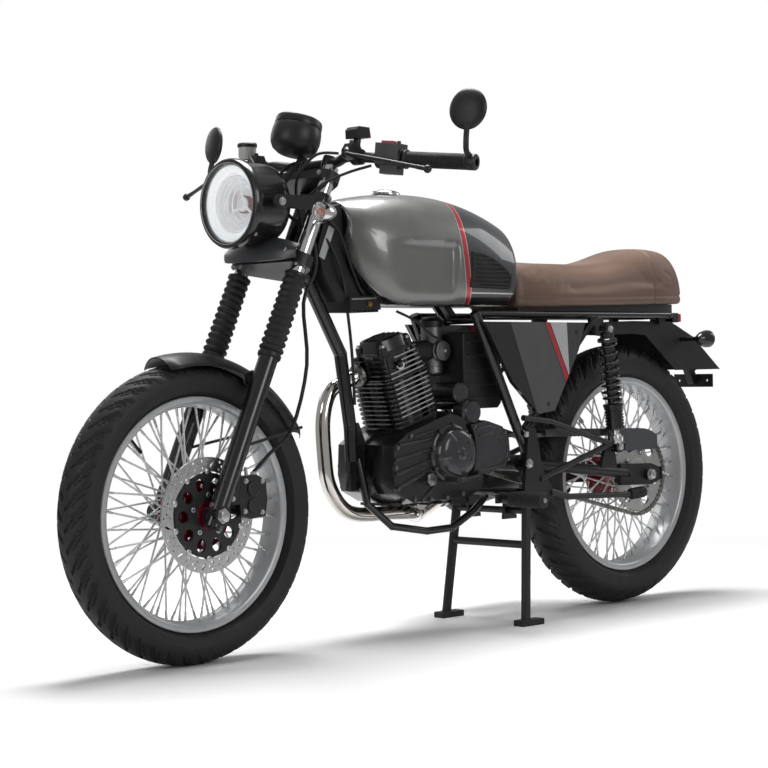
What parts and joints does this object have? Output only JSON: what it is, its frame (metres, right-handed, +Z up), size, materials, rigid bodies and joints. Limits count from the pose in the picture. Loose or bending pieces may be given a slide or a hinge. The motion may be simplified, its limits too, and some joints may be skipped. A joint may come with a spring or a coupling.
{
  "type": "cafe racer motorcycle",
  "caption": "Two-wheeled motorcycle with steered telescopic fork, spoked wheels, finned single cylinder engine, humped seat and a folding centre stand.",
  "frame": {"origin": "on the floor, in the middle of the length and the width", "axes": "+X forward, +Y to the rider's left, +Z up"},
  "size_m": [2.016, 0.9112, 1.17],
  "materials": {
    "frame_black": "gloss black enamel",
    "engine_black": "satin black paint",
    "fin_black": "satin black paint, bright cut fin edges",
    "intake_alloy": "cast, fine blasted",
    "tank_grey": "metallic warm grey under clear coat, red stripe",
    "chrome_trim": "polished plating",
    "seat_leather": "brown, sewn ribs",
    "panel_grey": "grey with red and silver stripe",
    "pipe_chrome": "polished, slightly straw from heat",
    "silencer_black": "matt heat-proof black",
    "swingarm_grey": "satin dark grey",
    "shock_black": "gloss black, chrome rod",
    "fender_black": "satin black",
    "lens_red": "clear red lens",
    "lens_amber": "smoked amber lens",
    "bracket_black": "satin black",
    "peg_black": "satin black with rubber pads",
    "guard_slate": "satin slate grey",
    "chain_steel": "oiled link plates",
    "clamp_black": "satin black",
    "tube_chrome": "hard chrome, ground",
    "gaiter_rubber": "ribbed black rubber",
    "leg_black": "gloss black on cast alloy",
    "lamp_black": "gloss black shell, clear glass lens",
    "gauge_black": "black housing under glass",
    "bar_black": "satin black tube",
    "grip_rubber": "ribbed black rubber",
    "control_black": "black castings and levers",
    "mirror_black": "black housing, silvered glass",
    "indicator_chrome": "plated body, smoked lens",
    "caliper_black": "black on cast alloy",
    "hose_rubber": "black sheathed hose",
    "tyre_rubber": "moulded tread",
    "rim_silver": "silver lacquer",
    "hub_red": "dark red anodised look",
    "spoke_steel": "bright drawn wire",
    "disc_steel": "turned friction ring",
    "sprocket_steel": "machined plate",
    "stand_black": "satin black tube"
  },
  "bodies": {
    "frame": {"main_frame": "frame_black", "engine_case": "engine_black", "engine_top": "fin_black", "intake": "intake_alloy", "fuel_tank": "tank_grey", "tank_cap": "chrome_trim", "seat": "seat_leather", "side_panels": "panel_grey", "exhaust_pipe": "pipe_chrome", "silencer": "silencer_black", "swingarm": "swingarm_grey", "shock_absorbers": "shock_black", "rear_fender": "fender_black", "tail_lamp": "lens_red", "rear_indicators": "lens_amber", "plate_bracket": "bracket_black", "peg_hangers": "bracket_black", "footpegs": "peg_black", "chain_guard": "guard_slate", "drive_chain": "chain_steel"},
    "steering": {"steering_clamps": "clamp_black", "fork_tubes": "tube_chrome", "fork_gaiters": "gaiter_rubber", "fork_legs": "leg_black", "front_fender": "fender_black", "headlamp": "lamp_black", "speedometer": "gauge_black", "handlebar": "bar_black", "grips": "grip_rubber", "controls": "control_black", "mirrors": "mirror_black", "front_indicators": "indicator_chrome", "brake_caliper": "caliper_black", "brake_hose": "hose_rubber"},
    "front_wheel": {"front_tyre": "tyre_rubber", "front_rim": "rim_silver", "front_hub": "hub_red", "front_spokes": "spoke_steel", "brake_disc": "disc_steel"},
    "rear_wheel": {"rear_tyre": "tyre_rubber", "rear_rim": "rim_silver", "rear_hub": "hub_red", "rear_spokes": "spoke_steel", "rear_sprocket": "sprocket_steel"},
    "centre_stand": {"centre_stand": "stand_black"}
  },
  "joints": [
    {"name": "steering", "type": "hinge", "parent": "frame", "child": "steering", "pos_m": [0.37397, 0, 0.90798], "axis": [-0.4179, 0, 0.9085], "range_deg": [-35, 35]},
    {"name": "front_wheel_spin", "type": "hinge", "parent": "steering", "child": "front_wheel", "pos_m": [0.699, 0, 0.309], "axis": [0, 1, 0], "continuous": true},
    {"name": "rear_wheel_spin", "type": "hinge", "parent": "frame", "child": "rear_wheel", "pos_m": [-0.656, 0, 0.324], "axis": [0, 1, 0], "continuous": true},
    {"name": "stand_fold", "type": "hinge", "parent": "frame", "child": "centre_stand", "pos_m": [-0.204, 0, 0.262], "axis": [0, 1, 0], "range_deg": [0, 82]}
  ]
}
